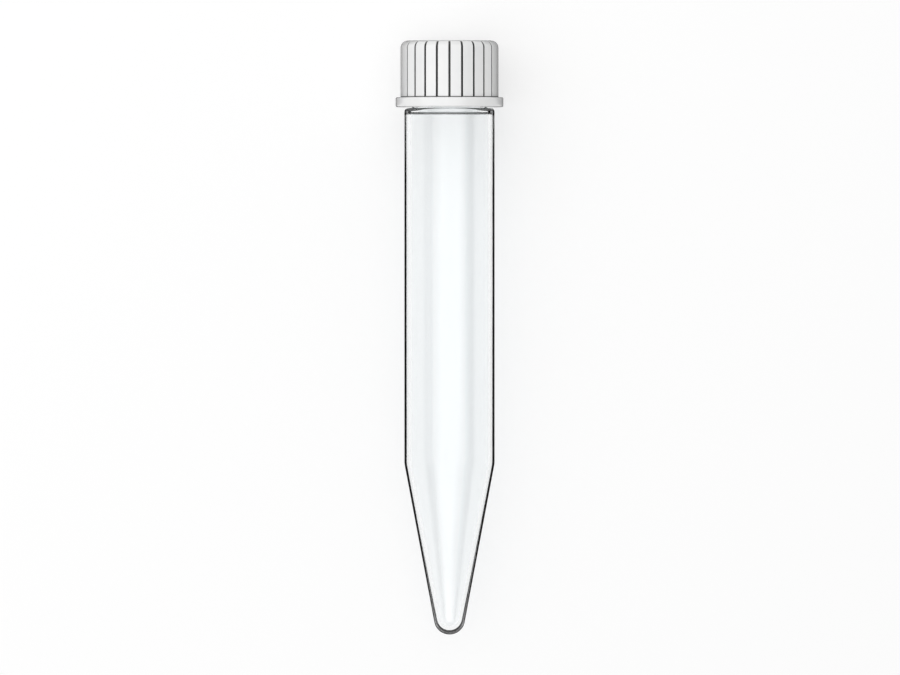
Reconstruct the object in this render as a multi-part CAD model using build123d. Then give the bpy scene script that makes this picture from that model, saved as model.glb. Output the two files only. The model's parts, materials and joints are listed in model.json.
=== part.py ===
from build123d import *
import math
import os

# Conical laboratory tube with a ribbed screw cap and a loose sealing liner, in millimetres.
#
# Each piece is drawn upright round the Z axis, with the lowest point of the rounded tip at
# z = 0 and the cap on top. The last section lays the closed tube down on its side, where it
# rests on the rim of the cap's flange and on the edge between the body and the cone.

# ---- Tube -----------------------------------------------------------------------------
body_radius = 8.75        # outside, parallel-sided
body_length = 69.0        # from the cone to the shoulder
cone_length = 33.2        # from the lowest point of the tip to the body
tip_round = 3.0           # outside
body_wall = 1.1
tip_wall = 1.3
shoulder_round = 0.75
shoulder_step = 1.5       # the neck stands in from the body by this
neck_length = 10.8        # from the shoulder to the rim
neck_wall = 1.1
rim_chamfer = 0.25        # on both edges of the rim
throat_chamfer = 0.3      # on both edges of the shoulder's flat underside, in the bore

# ---- Thread, single start, right-handed -------------------------------------------------
thread_pitch = 3.0
thread_height = 0.75
thread_crest = 0.5        # width of the flat top of a ridge
thread_flank_deg = 30.0
thread_fade_deg = 40.0    # turn over which a ridge sinks into the wall at each end
thread_sink = 0.15        # a ridge is rooted this deep in its wall
thread_end_depth = 0.135  # the crest of a faded end lies this deep in its wall
neck_thread_low = 3.7     # middle of the neck's ridge, above the shoulder
neck_thread_high = 2.0    # middle of the neck's ridge, below the rim
cap_thread_low = 1.7      # middle of the cap's ridge, above the edge of the skirt
cap_thread_high = 1.0     # middle of the cap's ridge, below the liner's bead
section_step_deg = 12.0   # spacing of the sections that a ridge is lofted through

# ---- Clearances --------------------------------------------------------------------------
thread_gap = 0.15         # crest to root, radial, both ways
flank_gap = 0.2           # between the flanks that bear on each other, square to them
skirt_gap = 0.2           # edge of the closed cap to the shoulder
liner_gap = 0.05          # liner to the rim, and liner to the cap's ceiling
liner_side_gap = 0.25     # liner to the cap's wall
bead_gap = 0.1            # liner to the bead that keeps it in the cap

# ---- Cap and liner -----------------------------------------------------------------------
cap_wall = 1.35
cap_top_wall = 1.2
cap_corner_round = 1.45
bead_height = 0.5
bead_crest = 0.2          # width of the bead's flat top, between flanks at 45 degrees
mouth_chamfer = 0.3
flange_overhang = 0.95
flange_thickness = 1.9
flange_chamfer = 0.3
rib_count = 24
groove_depth = 0.55
groove_floor = 0.25       # width of the groove at its floor
groove_mouth = 0.45       # width of the groove at the cap's surface
groove_clear = 0.5        # how far a groove's cutter stands out of the surface
liner_thickness = 1.0

# ---- Sizes that follow --------------------------------------------------------------------
bore_radius = body_radius - body_wall
neck_radius = body_radius - shoulder_step
mouth_radius = neck_radius - neck_wall
shoulder_z = cone_length + body_length
rim_z = shoulder_z + neck_length
throat_z = shoulder_z - body_wall

cap_bore = neck_radius + thread_height + thread_gap
cap_radius = cap_bore + cap_wall
flange_radius = cap_radius + flange_overhang
skirt_z = shoulder_z + skirt_gap
flange_z = skirt_z + flange_thickness
liner_z = rim_z + liner_gap
ceiling_z = liner_z + liner_thickness + liner_gap
top_z = ceiling_z + cap_top_wall
liner_radius = cap_bore - liner_side_gap
bead_half = bead_crest / 2 + bead_height
bead_z = liner_z - bead_gap - bead_half

flank_slope = math.tan(math.radians(thread_flank_deg))
flank_stretch = 1 / math.cos(math.radians(thread_flank_deg))
ridge_spacing = thread_crest + (thread_height - thread_gap) * flank_slope + flank_gap * flank_stretch
neck_helix_z = shoulder_z + neck_thread_low
cap_helix_z = neck_helix_z - ridge_spacing


# ---- Shared shapes --------------------------------------------------------------------------
def rounded(face, corner, radius):
    """Round the corner of a flat outline that lies nearest to a point."""
    nearest = face.vertices().sort_by_distance(corner)[0]
    return fillet(nearest, radius)


def spun(face):
    """Turn an outline drawn as (radius, height) once round the Z axis."""
    return revolve(Plane.XZ * face, Axis.Z)


def tip_tangent_deg(wide_radius, wide_z, round_radius, round_z):
    """Half angle of the cone that runs from a wide end down to a round tip, tangent to it."""
    reach = math.hypot(wide_radius, wide_z - round_z)
    lean = math.atan2(wide_radius, wide_z - round_z) + math.acos(round_radius / reach)
    return math.degrees(lean) - 90


def pointed_outline(radius, cone_z, round_radius, round_z, upper_points):
    """Half outline of a solid with a round tip and a cone, which goes on through the upper points."""
    half_angle = tip_tangent_deg(radius, cone_z, round_radius, round_z)
    tip = CenterArc((0, round_z), round_radius, -90, 90 - half_angle)
    sides = Polyline(tip @ 1, (radius, cone_z), *upper_points, tip @ 0)
    return make_face([tip, sides])


def thread_ridge(wall_radius, outward, helix_z, low_z, high_z):
    """Ridge on a wall along the helix that passes helix_z at angle 0, sunk at both ends.

    outward is 1 on the outside of a neck and -1 on the inside of a cap. Each section is a
    trapezoid in a plane through the axis. Its height falls smoothly to nothing, just under
    the wall, over the last thread_fade_deg of turn.
    """
    root_half = thread_crest / 2 + (thread_height + thread_sink) * flank_slope
    first = 360 * (low_z - helix_z) / thread_pitch
    last = 360 * (high_z - helix_z) / thread_pitch
    steps = math.ceil((last - first) / section_step_deg)
    sections = []
    for step in range(steps + 1):
        angle = first + (last - first) * step / steps
        to_end = min(angle - first, last - angle) / thread_fade_deg
        share = (1 - math.cos(math.pi * min(1, to_end))) / 2
        rise = thread_sink - thread_end_depth + (thread_height + thread_end_depth) * share
        top_half = root_half - rise * flank_slope
        foot = wall_radius - outward * thread_sink
        top = foot + outward * rise
        plane = Plane((0, 0, helix_z + thread_pitch * angle / 360),
                      x_dir=Vector(1, 0, 0).rotate(Axis.Z, angle),
                      z_dir=Vector(0, 1, 0).rotate(Axis.Z, angle))
        corners = [(foot, -root_half), (top, -top_half), (top, top_half), (foot, root_half)]
        sections.append(Wire.make_polygon([plane.from_local_coords(c) for c in corners]))
    return Solid.make_loft(sections)


# ---- Tube -----------------------------------------------------------------------------------
def tube_outside():
    """Round tip, cone, parallel body, rounded shoulder and the narrower neck."""
    upper_points = [
        (body_radius, shoulder_z), (neck_radius, shoulder_z),
        (neck_radius, rim_z - rim_chamfer), (neck_radius - rim_chamfer, rim_z), (0, rim_z)]
    outline = pointed_outline(body_radius, cone_length, tip_round, tip_round, upper_points)
    return spun(rounded(outline, (body_radius, shoulder_z), shoulder_round))


def tube_inside():
    """The space for the sample: cone, bore up to the flat underside of the shoulder, and mouth."""
    outside_deg = tip_tangent_deg(body_radius, cone_length, tip_round, tip_round)
    cone_z = cone_length + body_wall * math.tan(math.radians(outside_deg / 2))
    inner_round = tip_round - body_wall
    upper_points = [
        (bore_radius, throat_z - throat_chamfer), (bore_radius - throat_chamfer, throat_z),
        (mouth_radius + throat_chamfer, throat_z), (mouth_radius, throat_z + throat_chamfer),
        (mouth_radius, rim_z - rim_chamfer),
        (mouth_radius + 2 * rim_chamfer, rim_z + rim_chamfer), (0, rim_z + rim_chamfer)]
    return spun(pointed_outline(bore_radius, cone_z, inner_round, tip_wall + inner_round, upper_points))


def make_tube():
    ridge = thread_ridge(neck_radius, 1, neck_helix_z, neck_helix_z, rim_z - neck_thread_high)
    return tube_outside() - tube_inside() + ridge


# ---- Cap ------------------------------------------------------------------------------------
def cap_outside():
    """Skirt with its flange at the open end and a rounded corner at the closed end."""
    outline = make_face(Polyline(
        (0, skirt_z), (flange_radius - flange_chamfer, skirt_z), (flange_radius, skirt_z + flange_chamfer),
        (flange_radius, flange_z - flange_chamfer), (flange_radius - flange_chamfer, flange_z),
        (cap_radius, flange_z), (cap_radius, top_z), (0, top_z), close=True))
    return spun(rounded(outline, (cap_radius, top_z), cap_corner_round))


def cap_inside():
    """The threaded bore, with a bevelled way in and the bead that keeps the liner in."""
    bead_radius = cap_bore - bead_height
    return spun(make_face(Polyline(
        (0, skirt_z), (cap_bore + mouth_chamfer, skirt_z), (cap_bore, skirt_z + mouth_chamfer),
        (cap_bore, bead_z - bead_half), (bead_radius, bead_z - bead_crest / 2),
        (bead_radius, bead_z + bead_crest / 2), (cap_bore, bead_z + bead_half),
        (cap_bore, ceiling_z), (0, ceiling_z), close=True)))


def grip_groove():
    """Cutter for one groove: up the skirt from the flange, then out through the top corner."""
    floor_radius = cap_radius - groove_depth
    bend_z = top_z - cap_corner_round
    bend_radius = cap_corner_round + groove_depth
    rise = Line((floor_radius, flange_z), (floor_radius, bend_z))
    bend = CenterArc((floor_radius - bend_radius, bend_z), bend_radius, 0, 90)
    widening = (groove_mouth - groove_floor) / groove_depth
    brim_half = (groove_floor + widening * (groove_depth + groove_clear)) / 2
    section = make_face(Polyline((floor_radius, -groove_floor / 2), (cap_radius + groove_clear, -brim_half),
                                 (cap_radius + groove_clear, brim_half), (floor_radius, groove_floor / 2),
                                 close=True))
    return sweep(Pos(0, 0, flange_z) * section, Plane.XZ * Wire([rise, bend]))


def make_cap():
    groove = grip_groove()
    shell = cap_outside() - [Rot(Z=360 * rib / rib_count) * groove for rib in range(rib_count)]
    ridge = thread_ridge(cap_bore, -1, cap_helix_z, skirt_z + cap_thread_low,
                         bead_z - bead_half - cap_thread_high)
    return shell - cap_inside() + ridge


# ---- Liner ----------------------------------------------------------------------------------
def make_cap_liner():
    """Soft disc, punched from sheet, that the rim of the neck seals against."""
    return Pos(0, 0, liner_z + liner_thickness / 2) * Cylinder(liner_radius, liner_thickness)


# ---- Lying at rest --------------------------------------------------------------------------
def lying_place():
    """Where the closed tube lies: on the rim of the flange and on the top edge of the cone.

    The line of the bench runs from that edge to the end of the flange's chamfer. +Y points
    from the tip to the cap, and the origin is at the middle of the footprint.
    """
    tilt = math.atan2(flange_radius - body_radius, skirt_z + flange_chamfer - cone_length)
    lift = body_radius * math.cos(tilt) - cone_length * math.sin(tilt)
    cap_end = ((cap_radius - cap_corner_round) * math.sin(tilt)
               + (top_z - cap_corner_round) * math.cos(tilt) + cap_corner_round)
    tip_end = tip_round * math.cos(tilt) - tip_round
    return Pos(0, -(cap_end + tip_end) / 2, lift) * Rot(X=math.degrees(tilt) - 90)


pieces = {
    "tube": make_tube(),
    "cap": make_cap(),
    "cap_liner": make_cap_liner(),
}

os.makedirs("parts", exist_ok=True)
place = lying_place()
for name, piece in pieces.items():
    export_step(place * piece, f"parts/{name}.step")
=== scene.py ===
"""Looks for a clear conical tube with a white ribbed screw cap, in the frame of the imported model.

Sizes are in millimetres, in an upright drawing with the tip at z = 0, and MM turns them into
metres. Every piece is a grid wrapped round the tube's axis: rows run along an outline of
(radius, height) points, and columns run round the axis.
"""

import json
import math

import bmesh
import bpy
import numpy as np
from mathutils import Matrix, Vector


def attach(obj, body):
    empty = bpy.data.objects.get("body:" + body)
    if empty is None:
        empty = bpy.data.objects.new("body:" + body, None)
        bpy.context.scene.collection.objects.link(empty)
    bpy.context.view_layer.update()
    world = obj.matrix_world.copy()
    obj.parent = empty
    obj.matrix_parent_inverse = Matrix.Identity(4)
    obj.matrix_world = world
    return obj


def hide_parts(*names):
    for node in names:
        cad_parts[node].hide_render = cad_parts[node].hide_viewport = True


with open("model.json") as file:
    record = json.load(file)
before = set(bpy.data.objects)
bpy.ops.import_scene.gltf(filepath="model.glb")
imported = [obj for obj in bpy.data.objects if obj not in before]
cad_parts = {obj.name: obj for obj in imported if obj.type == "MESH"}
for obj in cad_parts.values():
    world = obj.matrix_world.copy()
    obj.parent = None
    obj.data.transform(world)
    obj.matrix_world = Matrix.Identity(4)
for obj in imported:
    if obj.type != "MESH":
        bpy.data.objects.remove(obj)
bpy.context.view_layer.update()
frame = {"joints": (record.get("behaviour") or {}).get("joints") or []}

MM = 0.001

# ---- Sizes of the real pieces, the same as the construction's ------------------------------------
BODY_RADIUS, BODY_LENGTH, BODY_WALL = 8.75, 69.0, 1.1
CONE_LENGTH, TIP_ROUND, TIP_WALL = 33.2, 3.0, 1.3
SHOULDER_ROUND, SHOULDER_STEP, THROAT_ROUND = 0.75, 1.5, 0.3
NECK_LENGTH, NECK_WALL, RIM_ROUND = 10.8, 1.1, 0.25
CAP_WALL, CAP_TOP_WALL, CAP_CORNER = 1.35, 1.2, 1.45
FLANGE_OVERHANG, FLANGE_THICKNESS, FLANGE_ROUND = 0.95, 1.9, 0.3
RIB_COUNT, GROOVE_DEPTH, GROOVE_FLOOR, GROOVE_MOUTH = 24, 0.55, 0.25, 0.45
BEAD_HEIGHT, BEAD_HALF, MOUTH_BEVEL = 0.5, 0.6, 0.3
LINER_THICKNESS, LINER_ROUND = 1.0, 0.15
SKIRT_GAP, THREAD_GAP, LINER_GAP, LINER_SIDE_GAP, BEAD_GAP = 0.2, 0.15, 0.05, 0.25, 0.1

BORE_RADIUS = BODY_RADIUS - BODY_WALL
NECK_RADIUS = BODY_RADIUS - SHOULDER_STEP
MOUTH_RADIUS = NECK_RADIUS - NECK_WALL
SHOULDER_Z = CONE_LENGTH + BODY_LENGTH
RIM_Z = SHOULDER_Z + NECK_LENGTH
THROAT_Z = SHOULDER_Z - BODY_WALL
SKIRT_Z = SHOULDER_Z + SKIRT_GAP
FLANGE_Z = SKIRT_Z + FLANGE_THICKNESS
LINER_Z = RIM_Z + LINER_GAP
CEILING_Z = LINER_Z + LINER_THICKNESS + LINER_GAP
TOP_Z = CEILING_Z + CAP_TOP_WALL

# ---- Thread, the same as the construction's, and the sizes that follow from it ---------------------
PITCH, THREAD_HEIGHT, CREST, THREAD_SINK = 3.0, 0.75, 0.5, 0.15
FLANK_DEG, FADE_DEG, FLANK_CLEARANCE = 30.0, 40.0, 0.2
FROM_SHOULDER, FROM_RIM = 3.7, 2.0           # the middle of the neck's ridge at its two ends
FROM_SKIRT, FROM_BEAD = 1.7, 1.0             # the middle of the cap's ridge at its two ends

FLANK_SLOPE = math.tan(math.radians(FLANK_DEG))
ROOT_HALF = CREST / 2 + (THREAD_HEIGHT + THREAD_SINK) * FLANK_SLOPE
FLANK_GAP = FLANK_CLEARANCE / math.cos(math.radians(FLANK_DEG))
NECK_HELIX_Z = SHOULDER_Z + FROM_SHOULDER
NECK_THREAD_TOP = RIM_Z - FROM_RIM
CAP_BORE = NECK_RADIUS + THREAD_HEIGHT + THREAD_GAP
CAP_RADIUS = CAP_BORE + CAP_WALL
FLANGE_RADIUS = CAP_RADIUS + FLANGE_OVERHANG
CORNER_R, CORNER_Z = CAP_RADIUS - CAP_CORNER, TOP_Z - CAP_CORNER
LINER_RADIUS = CAP_BORE - LINER_SIDE_GAP
BEAD_Z = LINER_Z - BEAD_GAP - BEAD_HALF
CAP_HELIX_Z = NECK_HELIX_Z - CREST - (THREAD_HEIGHT - THREAD_GAP) * FLANK_SLOPE - FLANK_GAP
CAP_THREAD_LOW, CAP_THREAD_TOP = SKIRT_Z + FROM_SKIRT, BEAD_Z - BEAD_HALF - FROM_BEAD

# ---- What only the meshes have: softened corners, small marks and the fineness of the grids ------
CONE_SOFT, BORE_SOFT, NECK_FOOT, NECK_FOOT_SOFT = 0.35, 0.4, 0.4, 0.3
THREAD_SOFT, BEAD_SOFT, BEAD_ROOT_SOFT, CEILING_SOFT = 0.06, 0.09, 0.1, 0.2
DIMPLE_RADIUS, DIMPLE_SLOPE, DIMPLE_DEPTH, DIMPLE_SOFT = 1.5, 0.2, 0.1, 0.08   # the gate's mark
PRESS_DEPTH = 0.03                           # how deep the rim has pressed into the liner
GROOVE_END, FOOT_SHADE = 0.01, 0.2           # above the flange: grooves start, painted shade in the corner ends
TUBE_COLUMNS, LINER_COLUMNS = 360, 128
TUBE_THREAD_ROW, CAP_THREAD_ROW = 0.09, 0.1  # the widest that rows are where there is thread
SAME = 1e-6                                  # what is closer than this falls together

# ---- Where the upright drawing lies --------------------------------------------------------------
turn = next(joint for joint in frame["joints"] if joint["name"] == "cap_turn")
axis = Vector(turn["axis"]).normalized()
right = Vector((1, 0, 0))
down = axis.cross(right)                     # the drawing's +Y, which faces the floor
tip = Vector(turn["pos_m"]) - axis * TOP_Z * MM
lying = Matrix((right, down, axis)).transposed().to_4x4()
lying.translation = tip


# ---- Camera --------------------------------------------------------------------------------------
def make_camera():
    """Far off and square to the tube's axis, looking down, with the cap at the top of the view."""
    view_width, sensor, lens = 174.73, 36.0, 1200.0
    middle_z, aside = 57.657, 0.1            # what the middle of the view falls on
    data = bpy.data.cameras.new("camera")
    data.sensor_width, data.lens = sensor, lens
    distance = view_width * MM * lens / sensor
    data.clip_start, data.clip_end = distance / 100, distance * 3
    camera = bpy.data.objects.new("camera", data)
    bpy.context.scene.collection.objects.link(camera)
    turned = Matrix((right, axis, -down)).transposed().to_4x4()
    turned.translation = tip + axis * middle_z * MM + right * aside * MM - down * distance
    camera.matrix_world = turned
    bpy.context.scene.camera = camera


# ---- Outlines ------------------------------------------------------------------------------------
def arc(centre, radius, start_deg, end_deg, steps):
    """Points of an arc in the plane of (radius, height), both ends included."""
    angles = np.radians(np.linspace(start_deg, end_deg, steps + 1))
    return [(centre[0] + radius * math.cos(a), centre[1] + radius * math.sin(a)) for a in angles]


def line(start, end, steps):
    """Points of a straight line, both ends included."""
    shares = np.linspace(0, 1, steps + 1)
    return [tuple(a + (b - a) * share for a, b in zip(start, end)) for share in shares]


def softened(points, sizes, steps=3):
    """A corner outline whose inner corners are cut back by the sizes and rounded."""
    out = [tuple(points[0])]
    for before, corner, after, size in zip(points, points[1:], points[2:], sizes):
        corner_v = Vector(corner)
        into = (Vector(before) - corner_v).normalized() * size
        away = (Vector(after) - corner_v).normalized() * size
        for share in np.linspace(0, 1, steps + 1):
            out.append(tuple(corner_v + into * (1 - share) ** 2 + away * share ** 2))
    out.append(tuple(points[-1]))
    return out


def joined(*runs):
    """One outline from runs of points, without the points that fall on each other."""
    points = []
    for point in (p for run in runs for p in run):
        if not points or math.dist(point, points[-1]) > SAME:
            points.append(point)
    return np.array(points)


def at_radius(outline, radius):
    """Which points of an outline stand on a wall of that radius."""
    return np.abs(outline[:, 0] - radius) < SAME


def tip_tangent(wide_radius, wide_z, round_radius, round_z):
    """Half angle, in degrees, of the cone from a wide end down to a round tip, tangent to it."""
    reach = math.hypot(wide_radius, wide_z - round_z)
    lean = math.atan2(wide_radius, wide_z - round_z) + math.acos(round_radius / reach)
    return math.degrees(lean) - 90


# ---- Meshes --------------------------------------------------------------------------------------
def even_angles(columns):
    """Angles of evenly spread columns round the axis."""
    return np.linspace(0, 2 * math.pi, columns, endpoint=False)


def grid(outline, angles):
    """Radii and heights, with a row for each outline point and a column for each angle."""
    radii, heights = (np.repeat(values[:, None], len(angles), axis=1) for values in outline.T)
    return radii, heights


def bake_places(angles, repeats, map_rows):
    """Where the corners of each quad lie in the bake map, with u round the axis.

    Columns that repeat share one place, and map_rows is how much of v each row takes.
    """
    v = np.concatenate([[0], np.cumsum(map_rows)]) / np.sum(map_rows)
    sector = 2 * math.pi / repeats
    half_widths = (np.roll(angles, -1) - angles) % (2 * math.pi) / 2
    middles = (angles + half_widths) % sector
    u_low, u_high = (middles - half_widths) / sector, (middles + half_widths) / sector
    u_corners = np.stack([u_low, u_high, u_high, u_low], axis=-1)[None]
    v_corners = np.stack([v[:-1], v[:-1], v[1:], v[1:]], axis=-1)[:, None]
    return np.stack(np.broadcast_arrays(u_corners, v_corners), axis=-1).reshape(-1, 4, 2)


def wrapped(name, radii, heights, angles, material, repeats=1, map_rows=None):
    """Closed mesh object from a grid of radii and heights, wrapped round the axis.

    The first and last rows shrink to one point each on the axis. In the bake map each row
    takes its real width, unless map_rows says otherwise.
    """
    rows, columns = radii.shape
    points = np.stack([radii * np.cos(angles), radii * np.sin(angles), heights], axis=-1)
    index = np.arange(rows * columns).reshape(rows, columns)
    index[0], index[-1] = index[0, 0], index[-1, 0]
    near, far = index[:-1], index[1:]
    quads = np.stack([near, np.roll(near, -1, 1), np.roll(far, -1, 1), far], axis=-1).reshape(-1, 4)
    if map_rows is None:
        map_rows = np.hypot(np.diff(radii[:, 0]), np.diff(heights[:, 0]))
    places = bake_places(angles, repeats, map_rows)
    faces, uvs = [], []
    for quad, corners in zip(quads.tolist(), places.tolist()):
        kept = [k for k in range(4) if quad[k] not in quad[:k]]
        faces.append([quad[k] for k in kept])
        uvs += [corners[k] for k in kept]
    mesh = bpy.data.meshes.new(name)
    mesh.from_pydata((points.reshape(-1, 3) * MM).tolist(), [], faces)
    mesh.uv_layers.new(name="OFBake").data.foreach_set("uv", np.array(uvs, np.float32).ravel())
    mesh.transform(lying)
    mesh.polygons.foreach_set("use_smooth", [True] * len(mesh.polygons))
    mesh.materials.append(material)
    made = bpy.data.objects.new(name, mesh)
    bpy.context.scene.collection.objects.link(made)
    return made


def add_attribute(made, name, values):
    """One number for each point of the grid, which the material reads."""
    attribute = made.data.attributes.new(name, "FLOAT", "POINT")
    attribute.data.foreach_set("value", np.asarray(values, np.float32).ravel())


def clean(made):
    """Drops the points that closed ends left unused, and turns the faces outward."""
    shape = bmesh.new()
    shape.from_mesh(made.data)
    bmesh.ops.delete(shape, geom=[v for v in shape.verts if not v.link_faces], context="VERTS")
    bmesh.ops.recalc_face_normals(shape, faces=shape.faces)
    shape.to_mesh(made.data)
    shape.free()


def lower(first, second, soft):
    """The lower of two heights, rounded where they cross."""
    blend = np.clip(0.5 + (first - second) / (2 * soft), 0, 1)
    return first * (1 - blend) + second * blend - soft * blend * (1 - blend)


def ridge(angles, heights, helix_z, low_z, high_z):
    """How far the thread stands out of its wall: a trapezoid that winds up a helix and fades out."""
    climb = PITCH / (2 * math.pi)
    first, last = ((z - helix_z) / climb for z in (low_z, high_z))
    turns = np.round(((heights - helix_z) / climb - angles) / (2 * math.pi))
    along = angles + 2 * math.pi * turns
    off = np.abs(heights - helix_z - climb * along)
    to_end = np.minimum(along - first, last - along) / math.radians(FADE_DEG)
    share = (1 - np.cos(math.pi * np.clip(to_end, 0, 1))) / 2
    crest = (THREAD_HEIGHT + THREAD_SINK) * share - THREAD_SINK
    flank = (ROOT_HALF - off) / FLANK_SLOPE - THREAD_SINK
    return -lower(-lower(crest, flank, THREAD_SOFT), 0, THREAD_SOFT)


def make_tube(material):
    """Outside from the tip to the rim, then back down the inside to the bottom of the cone."""
    half = tip_tangent(BODY_RADIUS, CONE_LENGTH, TIP_ROUND, TIP_ROUND)
    outer_tip = arc((0, TIP_ROUND), TIP_ROUND, -90, -half, 24)
    cone_z = CONE_LENGTH + BODY_WALL * math.tan(math.radians(half / 2))
    inner_round = TIP_ROUND - BODY_WALL
    inner_round_z = TIP_WALL + inner_round
    inner_half = tip_tangent(BORE_RADIUS, cone_z, inner_round, inner_round_z)
    inner_tip = arc((0, inner_round_z), inner_round, -inner_half, -90, 20)

    middle = (BODY_RADIUS, SHOULDER_Z / 2)
    shoulder_r, shoulder_z = BODY_RADIUS - SHOULDER_ROUND, SHOULDER_Z - SHOULDER_ROUND
    foot_z, lip_z = SHOULDER_Z + NECK_FOOT, RIM_Z - RIM_ROUND
    neck_rows = math.ceil((lip_z - foot_z) / TUBE_THREAD_ROW)
    outline = joined(
        outer_tip,
        softened([outer_tip[-1], (BODY_RADIUS, CONE_LENGTH), middle], [CONE_SOFT]),
        line(middle, (BODY_RADIUS, shoulder_z), 2),
        arc((shoulder_r, shoulder_z), SHOULDER_ROUND, 0, 90, 10),
        softened([(shoulder_r, SHOULDER_Z), (NECK_RADIUS, SHOULDER_Z), (NECK_RADIUS, foot_z)],
                 [NECK_FOOT_SOFT], 5),
        line((NECK_RADIUS, foot_z), (NECK_RADIUS, lip_z), neck_rows),
        arc((NECK_RADIUS - RIM_ROUND, lip_z), RIM_ROUND, 0, 90, 5),
        arc((MOUTH_RADIUS + RIM_ROUND, lip_z), RIM_ROUND, 90, 180, 5),
        softened([(MOUTH_RADIUS, lip_z), (MOUTH_RADIUS, THROAT_Z), (BORE_RADIUS, THROAT_Z),
                  (BORE_RADIUS, cone_z), inner_tip[0]], [THROAT_ROUND, THROAT_ROUND, BORE_SOFT], 8),
        inner_tip)
    angles = even_angles(TUBE_COLUMNS)
    radii, heights = grid(outline, angles)
    on_neck = at_radius(outline, NECK_RADIUS)
    grown = ridge(angles, heights, NECK_HELIX_Z, NECK_HELIX_Z, NECK_THREAD_TOP)
    radii[on_neck] += grown[on_neck]
    made = wrapped("clear_tube", radii, heights, angles, material)
    clean(made)
    return made


def groove_share(angles):
    """1 on the floor of a grip groove and 0 between grooves, sloping up its flanks."""
    step = 2 * math.pi / RIB_COUNT
    off = np.abs((angles + step / 2) % step - step / 2) * CAP_RADIUS
    slope = (GROOVE_MOUTH / 2 - off) / ((GROOVE_MOUTH - GROOVE_FLOOR) / 2)
    return np.clip(slope, 0, 1)


def cap_angles():
    """Columns round the cap, close together over each groove's edges and wide between grooves."""
    floor, mouth = GROOVE_FLOOR / 2 / CAP_RADIUS, GROOVE_MOUTH / 2 / CAP_RADIUS
    step = 2 * math.pi / RIB_COUNT
    half = [0.5 * floor, floor, (floor + mouth) / 2, mouth, mouth * 1.25, mouth * 2, 0.3 * step]
    one = sorted([0.0, *half, *(-a for a in half), 0.5 * step])
    return np.array(sorted((a + step * rib) % (2 * math.pi) for rib in range(RIB_COUNT) for a in one))


def cap_outside():
    """Outline from the middle of the cap's top, with the gate's mark, down to the skirt's edge."""
    dimple_z, edge_r = TOP_Z - DIMPLE_DEPTH, FLANGE_RADIUS - FLANGE_ROUND
    return joined(
        softened([(0, dimple_z), (DIMPLE_RADIUS, dimple_z), (DIMPLE_RADIUS + DIMPLE_SLOPE, TOP_Z),
                  (CORNER_R, TOP_Z)], [DIMPLE_SOFT, DIMPLE_SOFT]),
        arc((CORNER_R, CORNER_Z), CAP_CORNER, 90, 0, 14),
        line((CAP_RADIUS, CORNER_Z), (CAP_RADIUS, FLANGE_Z + FOOT_SHADE), 8),
        [(CAP_RADIUS, FLANGE_Z + GROOVE_END)],
        line((CAP_RADIUS, FLANGE_Z), (edge_r, FLANGE_Z), 2),
        arc((edge_r, FLANGE_Z - FLANGE_ROUND), FLANGE_ROUND, 90, 0, 5),
        arc((edge_r, SKIRT_Z + FLANGE_ROUND), FLANGE_ROUND, 0, -90, 5))


def cap_inside():
    """Outline from the cap's mouth up its bore, over the bead, to the middle of the ceiling."""
    mouth_z, bead_r = SKIRT_Z + MOUTH_BEVEL, CAP_BORE - BEAD_HEIGHT
    bead_low, bead_high = BEAD_Z - BEAD_HALF, BEAD_Z + BEAD_HALF
    bore_rows = math.ceil((bead_low - mouth_z) / CAP_THREAD_ROW)
    return joined(
        line((CAP_BORE + MOUTH_BEVEL, SKIRT_Z), (CAP_BORE, mouth_z), 2),
        line((CAP_BORE, mouth_z), (CAP_BORE, bead_low), bore_rows),
        softened([(CAP_BORE, bead_low), (bead_r, bead_low + BEAD_HEIGHT),
                  (bead_r, bead_high - BEAD_HEIGHT), (CAP_BORE, bead_high),
                  (CAP_BORE, CEILING_Z), (0, CEILING_Z)],
                 [BEAD_SOFT, BEAD_SOFT, BEAD_ROOT_SOFT, CEILING_SOFT]))


def corner_grooves(outline, share):
    """How deep the grooves are in the top corner, where they run out, and how its surface leans.

    Their floor is a wider arc than the corner's, whose centre lies further in.
    """
    floor_round, further_in = CAP_CORNER + GROOVE_DEPTH, 2 * GROOVE_DEPTH
    out, up = outline[:, 0] - CORNER_R, outline[:, 1] - CORNER_Z
    lean = np.arctan2(up, out)
    on_corner = (np.abs(np.hypot(out, up) - CAP_CORNER) < SAME) & (up > -SAME)
    squared = np.maximum(floor_round ** 2 - (further_in * np.sin(lean)) ** 2, 0)
    to_floor = np.sqrt(squared) - further_in * np.cos(lean)
    sunk = np.where(on_corner, np.maximum(CAP_CORNER - to_floor, 0), 0)
    return np.minimum(sunk[:, None], GROOVE_DEPTH * share), lean[:, None]


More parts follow.
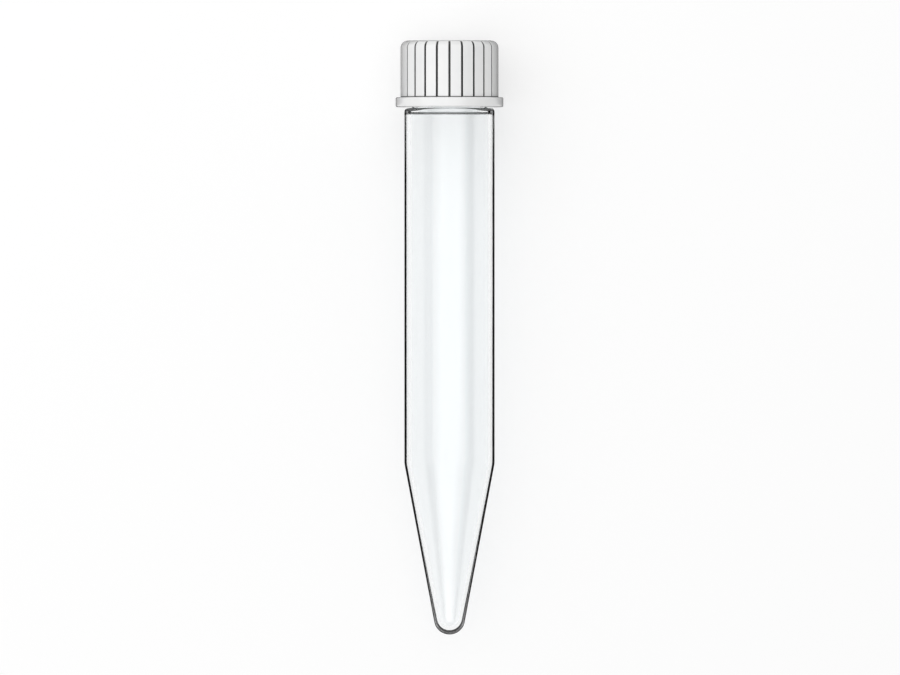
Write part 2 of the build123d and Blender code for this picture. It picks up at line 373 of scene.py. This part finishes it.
def make_cap(material):
    """Cap with its thread, and with grip grooves that run out through the top corner."""
    inside = cap_inside()
    outline = joined(cap_outside(), inside)
    angles = cap_angles()
    radii, heights = grid(outline, angles)

    outline_z, share = outline[:, 1], groove_share(angles)
    on_side = at_radius(outline, CAP_RADIUS) & (outline_z > FLANGE_Z + GROOVE_END / 2) \
        & (outline_z < CORNER_Z)
    radii[on_side] -= GROOVE_DEPTH * share
    depth, lean = corner_grooves(outline, share)
    radii -= depth * np.cos(lean)
    heights -= depth * np.sin(lean)

    in_bore = at_radius(outline, CAP_BORE) & (outline_z < BEAD_Z)
    grown = ridge(angles, heights, CAP_HELIX_Z, CAP_THREAD_LOW, CAP_THREAD_TOP)
    radii[in_bore] -= grown[in_bore]

    # The bake map gives fine rows some room, and the inside little of it.
    least_row, inside_part = 0.3, 0.2
    map_rows = np.maximum(np.hypot(*np.diff(outline, axis=0).T), least_row)
    map_rows[len(outline) - len(inside):] *= inside_part
    made = wrapped("ribbed_cap", radii, heights, angles, material, RIB_COUNT, map_rows)

    # Painted shade: the grooves and the corner above the flange get a share that the material colours
    # near black, for the shade that falls in them.
    painted_shade = np.where(on_side[:, None], share, depth / GROOVE_DEPTH)
    painted_shade[at_radius(outline, CAP_RADIUS) & (outline_z < FLANGE_Z + GROOVE_END * 2)] = 1
    add_attribute(made, "painted_shade", painted_shade)
    clean(made)
    return made


def make_liner(material):
    """Disc with softened edges and the faint ring that the rim has pressed into it."""
    ring, half_ring = (NECK_RADIUS + MOUTH_RADIUS) / 2, (NECK_RADIUS - MOUTH_RADIUS) / 2
    low, high = LINER_Z, LINER_Z + LINER_THICKNESS
    edge = LINER_RADIUS - LINER_ROUND
    outline = joined(
        line((0, low), (ring - half_ring, low), 6),
        line((ring - half_ring, low), (ring + half_ring, low), 8),
        arc((edge, low + LINER_ROUND), LINER_ROUND, -90, 0, 4),
        arc((edge, high - LINER_ROUND), LINER_ROUND, 0, 90, 4),
        line((edge, high), (0, high), 6))
    off = np.clip(np.abs(outline[:, 0] - ring) / half_ring, 0, 1)
    pressed = PRESS_DEPTH * (1 + np.cos(math.pi * off)) / 2
    outline[:, 1] += np.where(outline[:, 1] < low + SAME, pressed, 0)
    angles = even_angles(LINER_COLUMNS)
    made = wrapped("liner_disc", *grid(outline, angles), angles, material)
    clean(made)
    return made


# ---- Nodes ---------------------------------------------------------------------------------------
def make_node(tree, kind, inputs=(), **settings):
    """A shader node with its settings, and inputs that are plain values or other nodes' outputs."""
    node = tree.nodes.new("ShaderNode" + kind)
    for name, value in settings.items():
        setattr(node, name, value)
    for key, value in dict(inputs).items():
        if isinstance(value, bpy.types.NodeSocket):
            tree.links.new(value, node.inputs[key])
        else:
            node.inputs[key].default_value = value
    return node


def new_material(name):
    """A material with no nodes yet. Returns it and its node tree."""
    material = bpy.data.materials.new(name)
    material.use_nodes = True
    material.node_tree.nodes.clear()
    return material, material.node_tree


def show(tree, shader):
    """Makes a shader node the surface of its material."""
    make_node(tree, "OutputMaterial", {"Surface": shader.outputs[0]})


def noise(tree, scale, detail=3.0, stretch=(1, 1, 1)):
    """Noise in the object's own space, with scale in waves per millimetre."""
    place = make_node(tree, "TexCoord").outputs["Object"]
    spread = make_node(tree, "Mapping", {"Vector": place, "Scale": stretch}).outputs[0]
    inputs = {"Vector": spread, "Scale": scale / MM, "Detail": detail}
    return make_node(tree, "TexNoise", inputs).outputs["Fac"]


def ramp(tree, source, low, high, from_low=0.3, from_high=0.7, **settings):
    """source, spread from one range to another, where the first is by default most of a noise's."""
    ends = {"From Min": from_low, "From Max": from_high, "To Min": low, "To Max": high}
    return make_node(tree, "MapRange", {"Value": source, **ends}, **settings).outputs[0]


def calculated(tree, operation, first, second):
    """Two values through a Math node."""
    return make_node(tree, "Math", {0: first, 1: second}, operation=operation).outputs[0]


def blended(tree, share, first, second):
    """The first colour where share is 0, and the second where it is 1."""
    return make_node(tree, "Mix", {0: share, 6: first, 7: second}, data_type="RGBA").outputs[2]


def bumped(tree, source, height):
    """A normal roughened by a height in millimetres."""
    inputs = {"Strength": 1.0, "Distance": height * MM, "Height": source}
    return make_node(tree, "Bump", inputs).outputs[0]


# ---- Materials -----------------------------------------------------------------------------------
def clear_plastic():
    """Polished clear moulding: faint flow waves, and roughness that varies a little."""
    material, tree = new_material("clear_plastic")
    plastic = make_node(tree, "BsdfPrincipled", {
        "Base Color": (0.975, 0.985, 0.988, 1),
        "Transmission Weight": 1.0,
        "IOR": 1.5,
        "Roughness": ramp(tree, noise(tree, 0.35, detail=4), 0.015, 0.05),
        "Normal": bumped(tree, noise(tree, 0.12, detail=2, stretch=(1, 0.25, 1)), 0.02)})

    # Light reaches the floor and the liner through the wall, a little dimmed.
    path = make_node(tree, "LightPath").outputs
    dimmed = make_node(tree, "BsdfTransparent", {"Color": (0.93, 0.94, 0.945, 1)})
    either = calculated(tree, "MAXIMUM", path["Is Shadow Ray"], path["Is Diffuse Ray"])
    show(tree, make_node(tree, "MixShader", {0: either, 1: plastic.outputs[0], 2: dimmed.outputs[0]}))
    return material


def white_plastic():
    """White moulding with a fine grain under a polished skin, and painted shade down in the grip
    grooves and in the corner above the flange, where the polished skin is left off too.
    """
    material, tree = new_material("white_plastic")
    cooler, warmer, dark = (0.87, 0.875, 0.88, 1), (0.91, 0.91, 0.905, 1), (0.03, 0.03, 0.032, 1)
    white = blended(tree, ramp(tree, noise(tree, 0.25), 0, 1), cooler, warmer)
    # Painted shade: where the mesh's share is high the white turns near black and the coat goes, for
    # the shade in the grooves and the corner.
    painted_shade = make_node(tree, "Attribute", attribute_name="painted_shade").outputs["Fac"]
    deep = ramp(tree, painted_shade, 0, 1, 0.02, 0.3)
    show(tree, make_node(tree, "BsdfPrincipled", {
        "Base Color": blended(tree, deep, white, dark),
        "Roughness": ramp(tree, noise(tree, 0.8), 0.34, 0.46),
        "Normal": bumped(tree, noise(tree, 6.0, detail=2), 0.004),
        "Coat Weight": ramp(tree, deep, 1, 0, 0, 1),
        "Coat Roughness": 0.06}))
    return material


def foam():
    """Off-white foamed sheet with fine open cells."""
    material, tree = new_material("liner_foam")
    darker, paler = (0.78, 0.78, 0.75, 1), (0.86, 0.86, 0.83, 1)
    show(tree, make_node(tree, "BsdfPrincipled", {
        "Base Color": blended(tree, ramp(tree, noise(tree, 1.2), 0, 1), darker, paler),
        "Roughness": 0.85,
        "Normal": bumped(tree, noise(tree, 5.0, detail=4), 0.03)}))
    return material


# ---- Stage and light -----------------------------------------------------------------------------
def seen(tree):
    """1 for the rays that look at the stage straight, in a mirror or through the clear plastic."""
    path = make_node(tree, "LightPath").outputs
    either = calculated(tree, "MAXIMUM", path["Is Camera Ray"], path["Is Glossy Ray"])
    return calculated(tree, "MAXIMUM", either, path["Is Transmission Ray"])


def flat_stage(name, points, faces, material):
    """Flat mesh that belongs to the stage, from points in metres."""
    mesh = bpy.data.meshes.new(name)
    mesh.from_pydata(points, [], faces)
    mesh.materials.append(material)
    made = bpy.data.objects.new(name, mesh)
    bpy.context.scene.collection.objects.link(made)
    return made


def make_floor():
    """Wide white floor at z = 0 that keeps shadows."""
    half = 8.0                               # metres
    lift, bounce = 0.47, 0.34                # added where it is seen, and for what it lights
    material, tree = new_material("floor")
    show(tree, make_node(tree, "BsdfPrincipled", {
        "Base Color": (0.58, 0.58, 0.58, 1),
        "Roughness": 1.0,
        "Specular IOR Level": 0.0,
        "Emission Color": (1, 1, 1, 1),
        "Emission Strength": ramp(tree, seen(tree), bounce, lift, 0, 1)}))
    corners = [(-half, -half, 0), (half, -half, 0), (half, half, 0), (-half, half, 0)]
    flat_stage("floor", corners, [(0, 1, 2, 3)], material)


def card_black(name, depth):
    """Black to rays that have passed no more than depth surfaces, and nothing to the others."""
    material, tree = new_material(name)
    passed = make_node(tree, "LightPath").outputs["Transmission Depth"]
    meets = calculated(tree, "LESS_THAN", passed, depth + 0.5)
    nothing = make_node(tree, "BsdfTransparent")
    black = make_node(tree, "BsdfDiffuse", {"Color": (0.01, 0.01, 0.01, 1)})
    show(tree, make_node(tree, "MixShader", {0: meets, 1: nothing.outputs[0], 2: black.outputs[0]}))
    return material


def make_card(name, outlines, depth, height):
    """Black card on the floor, which shows only in the gloss and in the edges of the clear plastic.

    It paints the pieces' dark outline, a painted reflection of black beside them, as black card
    beside glass does on a light table.
    outlines are half outlines of its parts: rows of (inner x, outer x, z). depth is how many
    surfaces of clear plastic a ray may have passed and still meet it.
    """
    points, faces = [], []
    for rows in outlines:
        for side in (-1, 1):
            first = len(points)
            for inner, outer, z in rows:
                y = (tip + axis * z * MM).y
                points += [(side * x * MM, y, height * MM) for x in (inner, outer)]
            faces += [(i, i + 1, i + 3, i + 2) for i in range(first, len(points) - 2, 2)]
    card = flat_stage(name, points, faces, card_black(name, depth))
    card.visible_camera = card.visible_diffuse = card.visible_shadow = False


def strip(half_width, low, high):
    """Half outline of a card's straight part between two heights."""
    return [(0, half_width, low), (0, half_width, high)]


def under_tube(body_reach, tip_reach, bare):
    """Half outline of the card under the tube, which reaches out past the body and the tip.

    It lies all the way under the tip, and under the body it is two strips with a bare stretch
    between them, which widens to leave the shoulder and the neck clear.
    """
    half_deg = tip_tangent(BODY_RADIUS, CONE_LENGTH, TIP_ROUND, TIP_ROUND)
    rows = [(0, x, z) for x, z in arc((0, TIP_ROUND), TIP_ROUND + tip_reach, -90, -half_deg, 11)]
    low_r, low_z = arc((0, TIP_ROUND), TIP_ROUND, -90, -half_deg, 1)[-1]
    growth, narrowing = 0.25, 1.6            # how the reach grows and the bare stretch closes
    for share in np.linspace(0, 1, 13)[1:]:
        radius = low_r + (BODY_RADIUS - low_r) * share
        reach = tip_reach + (body_reach - tip_reach) * share ** growth
        inner = max(0, bare - (BODY_RADIUS - radius) * narrowing)
        rows.append((inner, radius + reach, low_z + (CONE_LENGTH - low_z) * share))
    wide, inset = BODY_RADIUS + body_reach, 0.3
    widening, widest = 15.0, 1.0             # below the throat
    return rows + [
        (bare, wide, THROAT_Z - widening), (BODY_RADIUS - inset, wide, THROAT_Z - widest),
        (BODY_RADIUS - inset, wide, SHOULDER_Z), (NECK_RADIUS - inset, wide, SHOULDER_Z),
        (NECK_RADIUS - inset, wide, RIM_Z + body_reach)]


def softbox(name, place, size, power):
    """Square lamp that points at the middle of the object and that the camera doesn't see."""
    data = bpy.data.lights.new(name, "AREA")
    data.shape = "RECTANGLE"
    data.size, data.size_y = size
    data.energy = power
    lamp = bpy.data.objects.new(name, data)
    lamp.location = place
    lamp.rotation_mode = "QUATERNION"
    lamp.rotation_quaternion = (-Vector(place)).to_track_quat("-Z", "Y")
    lamp.visible_camera = False
    bpy.context.scene.collection.objects.link(lamp)

    # Bright in the middle and fading to its edges, so that it leaves no hard edge in the gloss.
    data.use_nodes = True
    tree = data.node_tree
    where = make_node(tree, "NewGeometry").outputs["Parametric"]
    centred = make_node(tree, "VectorMath", {0: where, 1: (0.5, 0.5, 0)}, operation="SUBTRACT")
    length = make_node(tree, "VectorMath", {0: centred.outputs[0]}, operation="LENGTH")
    fade = ramp(tree, length.outputs["Value"], 0, 1, 0.5, 0.3, interpolation_type="SMOOTHSTEP")
    emission = next(node for node in tree.nodes if node.type == "EMISSION")
    tree.links.new(fade, emission.inputs["Strength"])


def make_world(ambient):
    """Even pale surroundings, seen as white and weaker as light.

    Between the horizon and the lamp they are dark to the rays that leave the clear plastic, for
    its upper edges.
    """
    rise, fall, darkest = (0.15, 0.35), (0.6, 0.75), 0.06
    world = bpy.data.worlds.new("world")
    world.use_nodes = True
    tree = world.node_tree
    tree.nodes.clear()
    direction = make_node(tree, "TexCoord").outputs["Generated"]
    up = make_node(tree, "SeparateXYZ", {0: direction}).outputs["Z"]
    leaving = make_node(tree, "LightPath").outputs["Is Transmission Ray"]
    band = calculated(tree, "MULTIPLY", ramp(tree, up, 0, 1, *rise), ramp(tree, up, 1, 0, *fall))
    band = calculated(tree, "MULTIPLY", band, leaving)
    light = ramp(tree, seen(tree), ambient, 1.0, 0, 1)
    strength = calculated(tree, "MULTIPLY", light, ramp(tree, band, 1.0, darkest, 0, 1))
    background = make_node(tree, "Background", {"Color": (1, 1, 1, 1), "Strength": strength})
    make_node(tree, "OutputWorld", {"Surface": background.outputs[0]})
    bpy.context.scene.world = world


make_camera()
bpy.context.scene.view_settings.view_transform = "Standard"
make_world(ambient=0.42)
make_floor()

# A ray that stays in the tube's wall has passed 2 surfaces, and one through its bore 4. A strip
# under the axis is for the lower edge in views from the side.
IN_WALL, MIRRORED = 2, 0
wall_parts = [under_tube(body_reach=4.0, tip_reach=3.0, bare=5.0), strip(2.1, TIP_ROUND, RIM_Z)]
gloss_parts = [under_tube(body_reach=8.0, tip_reach=6.0, bare=0.0), strip(3.5, TIP_ROUND, RIM_Z)]
cap_reach = 25.0
cap_parts = [strip(CAP_RADIUS + cap_reach, SKIRT_Z, TOP_Z + cap_reach)]
# The cards paint dark reflections: the outlines they give the tube and the cap are painted shade,
# seen only through the clear wall and in the gloss.
make_card("wall_shade", wall_parts, IN_WALL, height=0.02)
make_card("gloss_shade", gloss_parts, MIRRORED, height=0.01)
make_card("cap_shade", cap_parts, MIRRORED, height=0.015)
softbox("overhead", place=(-0.2, 0.12, 0.7), size=(2.0, 2.0), power=11.7)

# ---- Pieces --------------------------------------------------------------------------------------
tube = make_tube(clear_plastic())
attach(tube, "tube")
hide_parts("tube")

cap = make_cap(white_plastic())
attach(cap, "cap")
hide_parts("cap")

liner = make_liner(foam())
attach(liner, "liner")
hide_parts("cap_liner")
